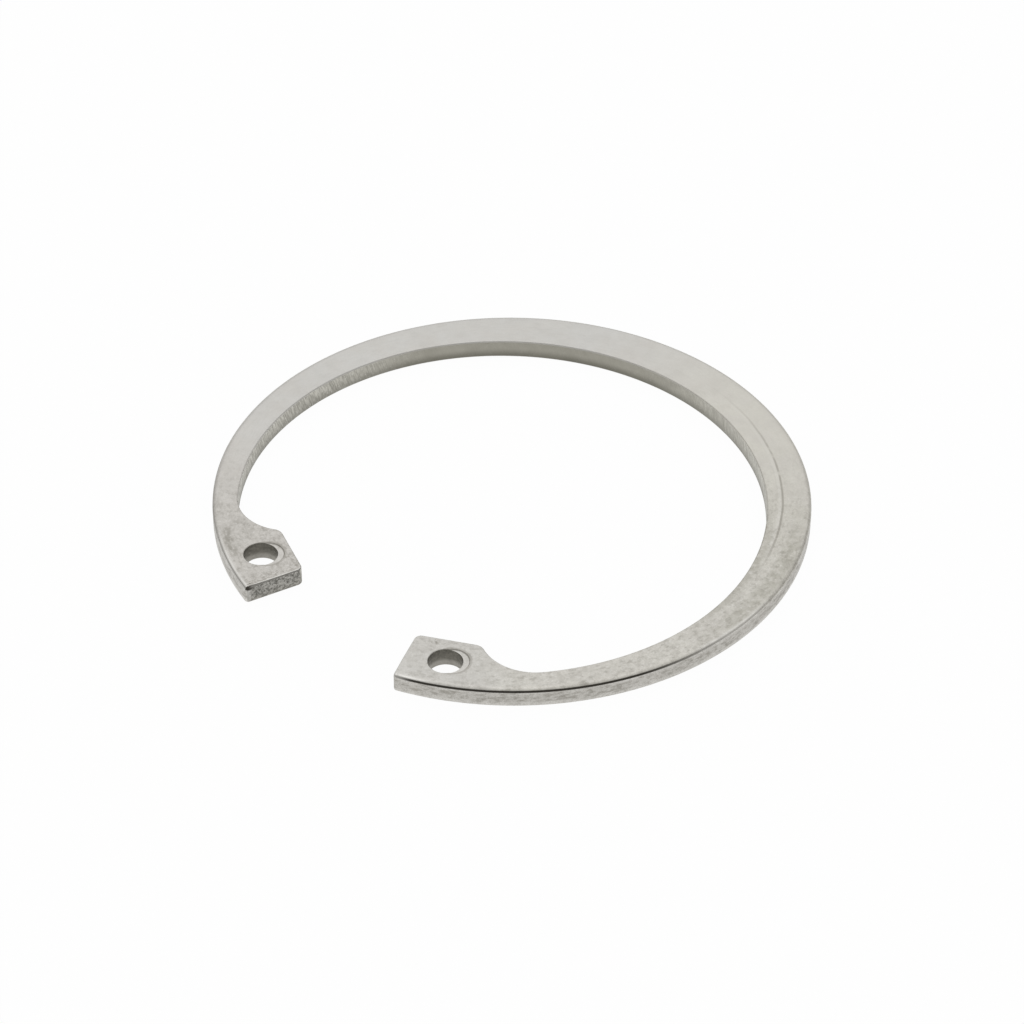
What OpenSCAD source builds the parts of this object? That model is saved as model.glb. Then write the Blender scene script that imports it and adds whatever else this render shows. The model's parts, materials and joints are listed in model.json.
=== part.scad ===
// Internal retaining ring: an open spring ring, punched flat from sheet steel, for a groove in a bore.
// It lies on its lower face. The origin is the centre of the outer edge, on that face, and the gap faces -Y.

/* [Band] */
// Outside diameter of the free ring, before pliers squeeze it
free_d = 74.5; // [66:0.5:84]
// Thickness of the sheet that the ring is punched from
thickness = 2.5; // [1.5:0.1:3.5]
// Width of the band at the back, opposite the gap
back_w = 6.25; // [5.5:0.05:7]
// Distance from the ring's centre to the centre of its inner edge, which narrows the band towards the lugs
inner_shift = 1.85; // [0.8:0.05:2.4]

/* [Lugs] */
// Angle that the gap takes out of the outer edge
gap_angle = 37.25; // [32:0.25:42]
// Angle by which an end face leans from the radius
end_lean = 1.75; // [-2:0.25:4]
// Angle from the middle of the gap to the line that a lug's flat inner side lies square to
lug_angle = 26.5; // [25:0.5:29]
// Height of a lug, from the outer edge to its flat inner side
lug_h = 8; // [7.2:0.05:8.8]
// Angle from the middle of the gap to the place where a lug's hollow runs out into the band
root_angle = 49.25; // [46:0.25:54]
// Radius of the hollow between a lug and the band
root_r = 6.5; // [5:0.1:7.5]
// Radius of the corner between the end face and the outer edge
heel_r = 0.5; // [0.4:0.05:1.2]
// Radius of the corner between the end face and the flat inner side
tip_r = 0.85; // [0.4:0.05:1.4]
// Radius of the corner between the flat inner side and the hollow
shoulder_r = 1.4; // [0.4:0.05:2]

/* [Plier holes] */
// Diameter of the holes that take the plier tips
hole_d = 4.2; // [3:0.1:4.8]
// Distance from the outer edge to the middle of a hole
hole_inset = 4.2; // [3.6:0.05:4.8]
// Angle from the middle of the gap to the middle of a hole
hole_angle = 27; // [26:0.25:28.5]
// Distance by which the punch's pressed mark lies to one side of its hole
mark_shift = 0.75; // [0.4:0.05:1]
// Direction of that side, the same at both holes because one stroke makes them
mark_angle = 40; // [0:5:355]
// Depth of the pressed mark
mark_depth = 0.12; // [0.05:0.01:0.3]

/* [Edges] */
// Width of the roll-over that the die drew down along the upper outer edge, across the upper face
die_roll_w = 0.9; // [0.7:0.05:1.2]
// Depth of that roll-over, down the outer edge
die_roll_h = 0.5; // [0.42:0.02:0.6]
// Radius in which it runs out into the outer edge
die_roll_r = 0.3; // [0.2:0.02:0.36]
// Reach of the deeper roll-over at a heel, in from its sharp corner
heel_drop_w = 2; // [1.4:0.1:2.4]
// Depth of that roll-over at the corner
heel_drop_h = 0.9; // [0.6:0.05:1]
// Radius of the other edges of the upper face, which tumbling rounded
upper_roll = 0.25; // [0.1:0.05:0.35]
// Radius of all the edges of the lower face
lower_roll = 0.2; // [0.1:0.05:0.4]
// Radius of the holes' rims on both faces
rim_roll = 0.12; // [0.05:0.01:0.3]

/* [Hidden] */
$fn = 128;
// How far a cut runs on past the metal
spill = 0.4;
// Share by which a rounding circle is larger than its radius, so that it crosses what it rounds
bite = 0.006;

// Unit vector at an angle from the middle of the gap, and the one square to it that points away from the gap
function toward(angle) = [sin(angle), -cos(angle)];
function across(angle) = [cos(angle), sin(angle)];
function bearing(v) = atan2(v.y, v.x);
// Point that lies a along the unit vector m and b along the unit vector n
function meet(m, a, n, b) = [a * n.y - b * m.y, b * m.x - a * n.x] / (m.x * n.y - m.y * n.x);

outer_r = free_d / 2;
inner_r = outer_r + inner_shift - back_w;
inner_c = [0, -inner_shift];
end_angle = gap_angle / 2 + end_lean;
end_dir = across(end_angle);
end_d = outer_r * toward(gap_angle / 2) * end_dir;
flat_dir = toward(lug_angle);
flat_d = outer_r - lug_h;
root_dir = toward(root_angle);
root_c = inner_c + (inner_r - root_r) * root_dir;
hole_c = (outer_r - hole_inset) * toward(hole_angle);
hole_r = hole_d / 2;

// Centre of a lug corner that is rounded by r, or the sharp corner itself where r is 0
function heel(r) =
    (end_d + r) * end_dir + sqrt(pow(outer_r - r, 2) - pow(end_d + r, 2)) * toward(end_angle);
function tip(r) = meet(end_dir, end_d + r, flat_dir, flat_d + r);
function shoulder(r) =
    let (rise = flat_d + r - root_c * flat_dir)
    root_c + rise * flat_dir - sqrt(pow(root_r + r, 2) - rise * rise) * across(lug_angle);

heel_c = heel(heel_r);
heel_dir = heel_c / norm(heel_c);
tip_c = tip(tip_r);
shoulder_c = shoulder(shoulder_r);
shoulder_dir = (root_c - shoulder_c) / norm(root_c - shoulder_c);

module both_lugs() {
    children();
    mirror([1, 0, 0]) children();
}

module rounding(r) {
    circle(r * (1 + bite));
}

// What a rounded corner leaves of the sharp one, as waste
module corner_waste(points, centre, r) {
    difference() {
        polygon(points);
        translate(centre) rounding(r);
    }
}

module heel_waste() {
    corner = meet(end_dir, end_d - spill, heel_dir, outer_r + spill);
    corner_waste([heel_c - heel_r * end_dir, corner, heel_c + heel_r * heel_dir], heel_c, heel_r);
}

module tip_waste() {
    corner_waste([tip_c - tip_r * end_dir, tip(-spill), tip_c - tip_r * flat_dir], tip_c, tip_r);
}

module shoulder_waste() {
    flat_end = shoulder_c - shoulder_r * flat_dir;
    root_start = shoulder_c + shoulder_r * shoulder_dir;
    corner_waste([flat_end, shoulder(-spill), root_c, root_start], shoulder_c, shoulder_r);
}

// A lug seen from above, before its hollow is cut, running on past the outer edge, which trims it
module lug_plan() {
    beyond = outer_r + lug_h;
    difference() {
        polygon([
            tip(0), shoulder(0), inner_c + inner_r * root_dir, beyond * root_dir, beyond * flat_dir,
            meet(end_dir, end_d, flat_dir, beyond)
        ]);
        tip_waste();
        shoulder_waste();
    }
}

// The space that the ring encloses, with the gap, and without the lugs that reach into it
module opening_plan() {
    beyond = outer_r + 2 * lug_h;
    difference() {
        union() {
            translate(inner_c) circle(inner_r);
            polygon([[0, 0], beyond * flat_dir, beyond * toward(-lug_angle)]);
        }
        both_lugs() lug_plan();
    }
    both_lugs() translate(root_c) rounding(root_r);
}

module ring_plan() {
    difference() {
        circle(outer_r);
        opening_plan();
        both_lugs() heel_waste();
    }
}

// Section of what an edge loses to its roll, with the face at Y 0, the wall at X 0 and the metal behind both
module roll_section(roll) {
    difference() {
        translate([-roll, -roll]) square(roll + spill);
        translate([-roll, -roll]) rounding(roll);
    }
}

// That section along a straight edge, which runs to the right of the way that its wall faces
module straight_roll(start, stop, facing, roll) {
    translate(start) rotate(facing) rotate([90, 0, 0]) linear_extrude(norm(stop - start)) roll_section(roll);
}

// That section around the outside of a curve, and around the inside of one
module outside_roll(centre, r, from, to, roll) {
    translate(centre) rotate_extrude(angle = to - from, start = from) translate([r, 0]) roll_section(roll);
}

module inside_roll(centre, r, from, to, roll) {
    translate(centre) rotate_extrude(angle = to - from, start = from)
        translate([r, 0]) mirror([1, 0]) roll_section(roll);
}

// The roll all the way round a lug, from its heel to the end of its hollow
module lug_rolls(roll) {
    end_facing = bearing(end_dir) + 180;
    flat_facing = bearing(flat_dir) + 180;
    shoulder_facing = bearing(shoulder_dir);
    grown = 1 + bite;
    run_on = 12;
    outside_roll(heel_c, heel_r * grown, end_facing - 360, bearing(heel_dir), roll);
    straight_roll(heel(0), tip(0), end_facing, roll);
    outside_roll(tip_c, tip_r * grown, flat_facing, end_facing, roll);
    straight_roll(tip(0), shoulder(0), flat_facing, roll);
    outside_roll(shoulder_c, shoulder_r * grown, shoulder_facing, flat_facing, roll);
    root_from = shoulder_facing + 180 - run_on;
    root_to = bearing(root_dir) + 360 + run_on;
    inside_roll(root_c, root_r * grown, root_from, root_to, roll);
}

// The rolls of one face, apart from the one along its outer edge
module edge_rolls(roll) {
    inside_roll(inner_c, inner_r, bearing(root_dir), 180 - bearing(root_dir), roll);
    both_lugs() lug_rolls(roll);
    both_lugs() inside_roll(hole_c, hole_r, 0, 360, rim_roll);
}

// What the die's roll-over takes from the section: a wide arc from the face, then a tight one into the wall
module die_roll_section() {
    wide_r = (pow(die_roll_w, 2) + pow(die_roll_h, 2) - 2 * die_roll_w * die_roll_r)
        / (2 * (die_roll_h - die_roll_r));
    wide_c = [-die_roll_w, -wide_r];
    tight_c = [-die_roll_r, -die_roll_h];
    joint_dir = (tight_c - wide_c) / norm(tight_c - wide_c);
    joint = tight_c + die_roll_r * joint_dir;
    beyond = joint + spill * joint_dir;
    difference() {
        translate([-die_roll_w, -die_roll_h]) square([die_roll_w + spill, die_roll_h + spill]);
        translate(wide_c) circle(wide_r + bite * die_roll_r / 2);
    }
    corner_waste([joint, beyond, [spill, -die_roll_h], [0, -die_roll_h]], tight_c, die_roll_r);
}

module die_roll() {
    rotate_extrude() translate([outer_r, 0]) die_roll_section();
}

// The deeper roll-over at a heel, where the sheet gave way towards two sides at once
module heel_drop() {
    out = (heel_dir - end_dir) / norm(heel_dir - end_dir);
    drop_r = (pow(heel_drop_w, 2) + pow(heel_drop_h, 2)) / (2 * heel_drop_h);
    middle = heel(0) + (drop_r - heel_drop_w) * out;
    side = 2 * heel_drop_w * [out.y, -out.x];
    straight_roll(middle - side, middle + side, bearing(out), drop_r);
}

module plier_hole() {
    translate([hole_c.x, hole_c.y, -spill]) cylinder(thickness + 2 * spill, r = hole_r);
}

// The shallow step that the punch pressed into the upper face beside one hole
module punch_mark(centre) {
    place = centre + mark_shift * [cos(mark_angle), sin(mark_angle)];
    translate([place.x, place.y, thickness - mark_depth])
        cylinder(2 * mark_depth, hole_r - mark_depth / 2, hole_r + 3 * mark_depth / 2);
}

module retaining_ring() {
    color([0.77, 0.76, 0.73])
    difference() {
        linear_extrude(thickness) ring_plan();
        both_lugs() plier_hole();
        punch_mark(hole_c);
        punch_mark([-hole_c.x, hole_c.y]);
        translate([0, 0, thickness]) {
            die_roll();
            both_lugs() heel_drop();
            edge_rolls(upper_roll);
        }
        mirror([0, 0, 1]) {
            outside_roll([0, 0], outer_r, 0, 360, lower_roll);
            edge_rolls(lower_roll);
        }
    }
}

retaining_ring();
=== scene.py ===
# %% [markdown]
# # An internal retaining ring
# This ring is punched flat from stainless sheet and tumbled until its edges are soft. Pliers
# squeeze it through a bore, and it springs out into a groove there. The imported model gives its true
# size, and it stays the frame that everything below is measured from.

# %% Load the frame
import json
import math

import bmesh
import bpy
from mathutils import Matrix, Vector


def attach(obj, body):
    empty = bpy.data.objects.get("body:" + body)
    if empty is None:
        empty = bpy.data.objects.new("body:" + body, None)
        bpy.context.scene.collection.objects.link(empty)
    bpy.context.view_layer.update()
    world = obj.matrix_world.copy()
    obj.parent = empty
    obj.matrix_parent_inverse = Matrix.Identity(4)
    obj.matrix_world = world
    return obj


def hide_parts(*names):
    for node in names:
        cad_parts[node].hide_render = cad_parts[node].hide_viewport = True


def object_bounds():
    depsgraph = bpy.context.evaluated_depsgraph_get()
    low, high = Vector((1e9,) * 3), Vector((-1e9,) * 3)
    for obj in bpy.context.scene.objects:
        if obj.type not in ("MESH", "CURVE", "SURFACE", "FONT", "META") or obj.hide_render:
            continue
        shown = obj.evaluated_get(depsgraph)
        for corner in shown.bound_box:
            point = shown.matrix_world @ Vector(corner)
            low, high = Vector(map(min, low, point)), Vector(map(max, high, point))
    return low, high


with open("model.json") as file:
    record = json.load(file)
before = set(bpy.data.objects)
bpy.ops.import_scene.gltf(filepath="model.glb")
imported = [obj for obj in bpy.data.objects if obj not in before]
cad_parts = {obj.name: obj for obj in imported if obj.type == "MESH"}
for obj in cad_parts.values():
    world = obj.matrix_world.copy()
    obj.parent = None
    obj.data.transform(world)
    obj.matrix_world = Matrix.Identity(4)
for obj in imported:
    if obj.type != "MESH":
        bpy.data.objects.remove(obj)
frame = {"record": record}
cad_box = [list(corner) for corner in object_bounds()]
MM = 0.001
print("frame box, mm:", [[round(value / MM, 2) for value in corner] for corner in cad_box])

# %% [markdown]
# ## Sizes
# The mounts in the record hold what the ring has to fit: its outer edge and its plier holes. The
# rest of the outline is a short list of radii and angles, the same that a toolmaker would put on
# the punch drawing. Angles are counted from the middle of the gap, which faces -Y, and lengths are
# in metres from here on.

# %% Sizes of the ring
mounts = {mount["name"]: mount for mount in frame["record"]["mounts"]}
outer_r = mounts["groove_edge"]["dims"]["r_mm"] * MM
hole_r = mounts["plier_hole_right"]["dims"]["r_mm"] * MM
hole_at = Vector(mounts["plier_hole_right"]["pos_m"]).xy
thickness = cad_box[1][2] - cad_box[0][2]

back_width = 6.25 * MM
inner_shift = 1.85 * MM
gap_angle = math.radians(37.25)
end_lean = math.radians(1.75)
lug_angle = math.radians(26.5)
lug_height = 8 * MM
root_angle = math.radians(49.25)
root_r = 6.5 * MM
heel_r = 0.5 * MM
tip_r = 0.85 * MM
shoulder_r = 1.4 * MM
die_roll_width = 0.9 * MM
die_roll_depth = 0.5 * MM
heel_roll = 0.6 * MM
heel_reach = 4 * MM
upper_roll = 0.25 * MM
lower_roll = 0.2 * MM
rim_roll = 0.12 * MM
mark_shift = 0.75 * MM
mark_angle = math.radians(40)
mark_depth = 0.12 * MM
face_land = 0.1 * MM
ROLL_STEPS = 12
print("outer radius, thickness, hole radius, mm:",
      [round(value / MM, 3) for value in (outer_r, thickness, hole_r)])

# %% [markdown]
# ## The outline
# Seen from above, half of the ring is eight stretches: the outer edge, the heel, the end face, the
# tip, the lug's flat side, its shoulder, the hollow of its root, and the inner edge. Each round
# stretch touches its neighbours without a kink, so every centre follows from the radii. The inner
# edge's centre lies a little towards the gap, which is what makes the band grow thinner towards the
# lugs. The other half is a mirror image.

# %% Points along the outline
STATION = 0.3 * MM
FINEST_TURN = math.radians(5)


def toward(angle):
    return Vector((math.sin(angle), -math.cos(angle)))


def across(angle):
    return Vector((math.cos(angle), math.sin(angle)))


def bearing(direction):
    return math.atan2(direction.y, direction.x)


def arc(centre, radius, start, turn):
    """Points from bearing start, turning by turn, without the last one."""
    steps = max(int(abs(turn) * radius / STATION), int(abs(turn) / FINEST_TURN), 1)
    return [centre + radius * across(start + turn * step / steps) for step in range(steps)]


def line(start, stop):
    steps = max(int((stop - start).length / STATION), 1)
    return [start.lerp(stop, step / steps) for step in range(steps)]


def turn_between(start, stop, clockwise):
    turn = (stop - start) % math.tau
    return turn - math.tau if clockwise else turn


inner_r = outer_r + inner_shift - back_width
inner_c = Vector((0, -inner_shift))
end_angle = gap_angle / 2 + end_lean
end_dir = across(end_angle)
end_d = outer_r * toward(gap_angle / 2).dot(end_dir)


def half_outline():
    """From the back of the outer edge, past the right lug, to the back of the inner edge."""
    flat_dir = toward(lug_angle)
    flat_d = outer_r - lug_height
    root_c = inner_c + (inner_r - root_r) * toward(root_angle)

    heel_out = math.sqrt((outer_r - heel_r) ** 2 - (end_d + heel_r) ** 2)
    heel_c = (end_d + heel_r) * end_dir + heel_out * toward(end_angle)
    tip_lines = Matrix((end_dir, flat_dir))
    tip_c = tip_lines.inverted() @ Vector((end_d + tip_r, flat_d + tip_r))
    rise = flat_d + shoulder_r - root_c.dot(flat_dir)
    reach = math.sqrt((root_r + shoulder_r) ** 2 - rise ** 2)
    shoulder_c = root_c + rise * flat_dir - reach * across(lug_angle)

    back = math.pi / 2
    heel_out_b = bearing(heel_c)
    end_b = bearing(-end_dir)
    flat_b = bearing(-flat_dir)
    shoulder_b = bearing(root_c - shoulder_c)
    root_b = bearing(toward(root_angle))

    points = arc(Vector((0, 0)), outer_r, back, turn_between(back, heel_out_b, True))
    points += arc(heel_c, heel_r, heel_out_b, turn_between(heel_out_b, end_b, True))
    points += line(heel_c - heel_r * end_dir, tip_c - tip_r * end_dir)
    points += arc(tip_c, tip_r, end_b, turn_between(end_b, flat_b, True))
    points += line(tip_c - tip_r * flat_dir, shoulder_c - shoulder_r * flat_dir)
    points += arc(shoulder_c, shoulder_r, flat_b, turn_between(flat_b, shoulder_b, True))
    hollow_b = shoulder_b + math.pi
    points += arc(root_c, root_r, hollow_b, turn_between(hollow_b, root_b, False))
    points += arc(inner_c, inner_r, root_b, turn_between(root_b, back, False))
    return points + [inner_c + inner_r * across(back)]


right_half = half_outline()
left_half = [Vector((-point.x, point.y)) for point in reversed(right_half[1:-1])]
outline = right_half + left_half
perimeter = sum((outline[k] - outline[k - 1]).length for k in range(len(outline)))
print("outline points:", len(outline), "perimeter, mm:", round(perimeter / MM, 1))

# %% [markdown]
# ## The punched blank
# A punch gives every wall of the ring the same section: straight down, with an edge that rolls over
# at each face. So the wall is one section swept along the outline, and once more around each plier
# hole with a tighter roll. Geometry Nodes suit this well, because the section stays a recipe with
# named sizes: four points, two of them filleted. Along the outer edge the die drew the sheet down
# as it cut, so the roll there is spread into a wide quarter of an ellipse. Along an end face it
# grows deeper towards the heel, where the sheet gave way to two sides. The two faces are then
# filled between the swept rims, and a shallow cone beside each hole presses the punch mark in.

# %% Helpers for node trees
def new_tree(name, kind, inputs, outputs):
    tree = bpy.data.node_groups.new(name, kind)
    for label, socket_type in inputs:
        tree.interface.new_socket(name=label, in_out="INPUT", socket_type=socket_type)
    for label, socket_type in outputs:
        tree.interface.new_socket(name=label, in_out="OUTPUT", socket_type=socket_type)
    return tree


def add(tree, kind, settings=None, **inputs):
    """A node with its settings, and with its inputs given as values or as sockets to link."""
    node = tree.nodes.new(kind)
    for name, value in (settings or {}).items():
        setattr(node, name, value)
    for name, value in inputs.items():
        feed(tree, node.inputs[name.replace("_", " ")], value)
    return node


def feed(tree, socket, value):
    if isinstance(value, bpy.types.NodeSocket):
        tree.links.new(value, socket)
    else:
        socket.default_value = value


def maths(tree, operation, first, second=0.0, third=0.0):
    node = tree.nodes.new("ShaderNodeMath")
    node.operation = operation
    for socket, value in zip(node.inputs, (first, second, third)):
        feed(tree, socket, value)
    return node.outputs[0]


def clamped(tree, value):
    """The value, held between 0 and 1."""
    return maths(tree, "MINIMUM", maths(tree, "MAXIMUM", value, 0.0), 1.0)


# %% The section of an edge
LENGTH = "NodeSocketFloat"
COUNT = "NodeSocketInt"
SHAPE = "NodeSocketGeometry"


def pick_by_index(tree, data_type, values):
    """One value for each of the first points of a curve."""
    node = add(tree, "GeometryNodeIndexSwitch", {"data_type": data_type})
    while len(node.index_switch_items) < len(values):
        node.index_switch_items.new()
    tree.links.new(add(tree, "GeometryNodeInputIndex").outputs[0], node.inputs["Index"])
    for place, value in enumerate(values):
        feed(tree, node.inputs[1 + place], value)
    return node.outputs[0]


def section_tree():
    """Upper face, rolled edge, wall, rolled edge and lower face, as a curve lying on its side."""
    lengths = ("Thickness", "Upper roll", "Lower roll", "Land")
    sizes = [(name, LENGTH) for name in lengths] + [("Steps", COUNT)]
    tree = new_tree("Edge section", "GeometryNodeTree", sizes, [("Section", SHAPE)])
    given = tree.nodes.new("NodeGroupInput").outputs
    upper_land = maths(tree, "ADD", given["Upper roll"], given["Land"])
    lower_land = maths(tree, "ADD", given["Lower roll"], given["Land"])
    top = maths(tree, "MULTIPLY", given["Thickness"], -1.0)
    corners = [
        add(tree, "ShaderNodeCombineXYZ", X=lower_land, Y=0.0).outputs[0],
        add(tree, "ShaderNodeCombineXYZ", X=0.0, Y=0.0).outputs[0],
        add(tree, "ShaderNodeCombineXYZ", X=0.0, Y=top).outputs[0],
        add(tree, "ShaderNodeCombineXYZ", X=upper_land, Y=top).outputs[0],
    ]
    points = add(tree, "GeometryNodeMeshLine", {"mode": "OFFSET"}, Count=len(corners))
    place = pick_by_index(tree, "VECTOR", corners)
    placed = add(tree, "GeometryNodeSetPosition", Geometry=points.outputs[0], Position=place)
    curve = add(tree, "GeometryNodeMeshToCurve", Mesh=placed.outputs[0])
    radius = pick_by_index(tree, "FLOAT", [0.0, given["Lower roll"], given["Upper roll"], 0.0])
    rolled = add(tree, "GeometryNodeFilletCurve", {"mode": "POLY"}, Curve=curve.outputs[0],
                 Count=given["Steps"], Radius=radius)
    feed(tree, tree.nodes.new("NodeGroupOutput").inputs["Section"], rolled.outputs[0])
    return tree


edge_section = section_tree()
print("section tree:", len(edge_section.nodes), "nodes")


# %% The ring's tree
ROUND_STEPS = 96
EDGE_SLACK = 0.0001 * MM
WELD = 0.002 * MM
SHARPEST_SMOOTH = math.radians(35)
# How far from the end face the heel still rolls with it
END_REACH = 0.9 * heel_r


def swept_wall(tree, curve, given, upper_roll_socket, lower_roll_socket):
    section = add(tree, "GeometryNodeGroup", {"node_tree": edge_section},
                  Thickness=given["Thickness"], Upper_roll=upper_roll_socket,
                  Lower_roll=lower_roll_socket, Land=given["Land"], Steps=given["Steps"])
    upright = add(tree, "GeometryNodeSetCurveNormal", {"mode": "Z_UP"}, Curve=curve).outputs[0]
    swept = add(tree, "GeometryNodeCurveToMesh", Curve=upright, Profile_Curve=section.outputs[0])
    return swept.outputs[0]


def place_from_outer_edge(tree, given):
    """A point's coordinates, its place in plan, and how far inside the outer edge it lies."""
    position = add(tree, "GeometryNodeInputPosition").outputs[0]
    parts = add(tree, "ShaderNodeSeparateXYZ", Vector=position).outputs
    x, y, z = parts["X"], parts["Y"], parts["Z"]
    plan = add(tree, "ShaderNodeCombineXYZ", X=x, Y=y).outputs[0]
    length = add(tree, "ShaderNodeVectorMath", {"operation": "LENGTH"}, Vector=plan)
    radius = length.outputs["Value"]
    inset = maths(tree, "SUBTRACT", given["Outer radius"], radius)
    return {"x": x, "y": y, "z": z, "plan": plan, "radius": radius, "inset": inset}


def moved_above(tree, wall, chosen, z, offset, given):
    """Moves those of the chosen points that lie above the wall's middle."""
    middle = maths(tree, "MULTIPLY", given["Thickness"], 0.5)
    upper = maths(tree, "MULTIPLY", maths(tree, "GREATER_THAN", z, middle), chosen)
    moved = add(tree, "GeometryNodeSetPosition", Geometry=wall, Selection=upper, Offset=offset)
    return moved.outputs[0]


def widened_edge(tree, wall, on_outer, given):
    """Spreads the upper roll along the outer edge to the width of the die's roll-over."""
    place = place_from_outer_edge(tree, given)
    spread = maths(tree, "DIVIDE", given["Die roll width"], given["Upper roll"])
    growth = maths(tree, "SUBTRACT", 1.0, spread)
    share = maths(tree, "DIVIDE", maths(tree, "MULTIPLY", place["inset"], growth), place["radius"])
    offset = add(tree, "ShaderNodeVectorMath", {"operation": "SCALE"}, Vector=place["plan"],
                 Scale=share).outputs[0]
    return moved_above(tree, wall, on_outer, place["z"], offset, given)


def deepened_heel(tree, wall, beside_heel, given):
    """Lets the upper roll along an end face grow deeper towards the heel."""
    place = place_from_outer_edge(tree, given)
    way = clamped(tree, maths(tree, "DIVIDE", place["inset"], given["Heel reach"]))
    near = maths(tree, "SUBTRACT", 1.0, way)
    ratio = maths(tree, "DIVIDE", given["Heel roll"], given["Upper roll"])
    most = maths(tree, "SUBTRACT", ratio, 1.0)
    growth = maths(tree, "MULTIPLY", maths(tree, "MULTIPLY", near, near), most)
    below_face = maths(tree, "SUBTRACT", place["z"], given["Thickness"])
    offset = add(tree, "ShaderNodeCombineXYZ", Z=maths(tree, "MULTIPLY", below_face, growth))
    return moved_above(tree, wall, beside_heel, place["z"], offset.outputs[0], given)


def drawn_down(tree, blank, given):
    """Sinks what lies near the upper outer edge to a quarter of an ellipse, the die's roll-over."""
    place = place_from_outer_edge(tree, given)
    way = maths(tree, "DIVIDE", place["inset"], given["Die roll width"])
    near = clamped(tree, maths(tree, "SUBTRACT", 1.0, way))
    left_over = maths(tree, "SUBTRACT", 1.0, maths(tree, "MULTIPLY", near, near))
    sunk = maths(tree, "SUBTRACT", 1.0, maths(tree, "SQRT", left_over))
    drop = maths(tree, "MULTIPLY", given["Die roll depth"], sunk)
    height = maths(tree, "MINIMUM", place["z"], maths(tree, "SUBTRACT", given["Thickness"], drop))
    position = add(tree, "ShaderNodeCombineXYZ", X=place["x"], Y=place["y"], Z=height).outputs[0]
    return add(tree, "GeometryNodeSetPosition", Geometry=blank, Position=position).outputs[0]


def filled_face(tree, walls, level, above, flip):
    """The flat face between all the open rims that lie on one side of the wall's middle."""
    rim = add(tree, "GeometryNodeInputMeshEdgeNeighbors").outputs[0]
    is_rim = add(tree, "FunctionNodeCompare", {"data_type": "INT", "operation": "EQUAL"})
    tree.links.new(rim, is_rim.inputs[2])
    is_rim.inputs[3].default_value = 1
    position = add(tree, "GeometryNodeInputPosition").outputs[0]
    height = add(tree, "ShaderNodeSeparateXYZ", Vector=position).outputs["Z"]
    side = maths(tree, "GREATER_THAN" if above else "LESS_THAN", height, thickness / 2)
    chosen = add(tree, "FunctionNodeBooleanMath", {"operation": "AND"})
    tree.links.new(is_rim.outputs[0], chosen.inputs[0])
    tree.links.new(side, chosen.inputs[1])
    rims = add(tree, "GeometryNodeMeshToCurve", Mesh=walls, Selection=chosen.outputs[0])
    face = add(tree, "GeometryNodeFillCurve", {"mode": "TRIANGLES"}, Curve=rims.outputs[0])
    lift = add(tree, "ShaderNodeCombineXYZ", Z=level)
    lifted = add(tree, "GeometryNodeTransform", Geometry=face.outputs[0], Translation=lift.outputs[0])
    if not flip:
        return lifted.outputs[0]
    return add(tree, "GeometryNodeFlipFaces", Mesh=lifted.outputs[0]).outputs[0]


def joined(tree, *pieces):
    node = tree.nodes.new("GeometryNodeJoinGeometry")
    for piece in pieces:
        tree.links.new(piece, node.inputs[0])
    return node.outputs[0]


def on_both_lugs(tree, x, y):
    """Two points, the right lug's first."""
    right_point = add(tree, "ShaderNodeCombineXYZ", X=x, Y=y).outputs[0]
    mirrored = maths(tree, "MULTIPLY", x, -1.0)
    left_point = add(tree, "ShaderNodeCombineXYZ", X=mirrored, Y=y).outputs[0]
    pair = add(tree, "GeometryNodeMeshLine", {"mode": "OFFSET"}, Count=2).outputs[0]
    place = pick_by_index(tree, "VECTOR", [right_point, left_point])
    return add(tree, "GeometryNodeSetPosition", Geometry=pair, Position=place).outputs[0]


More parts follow.
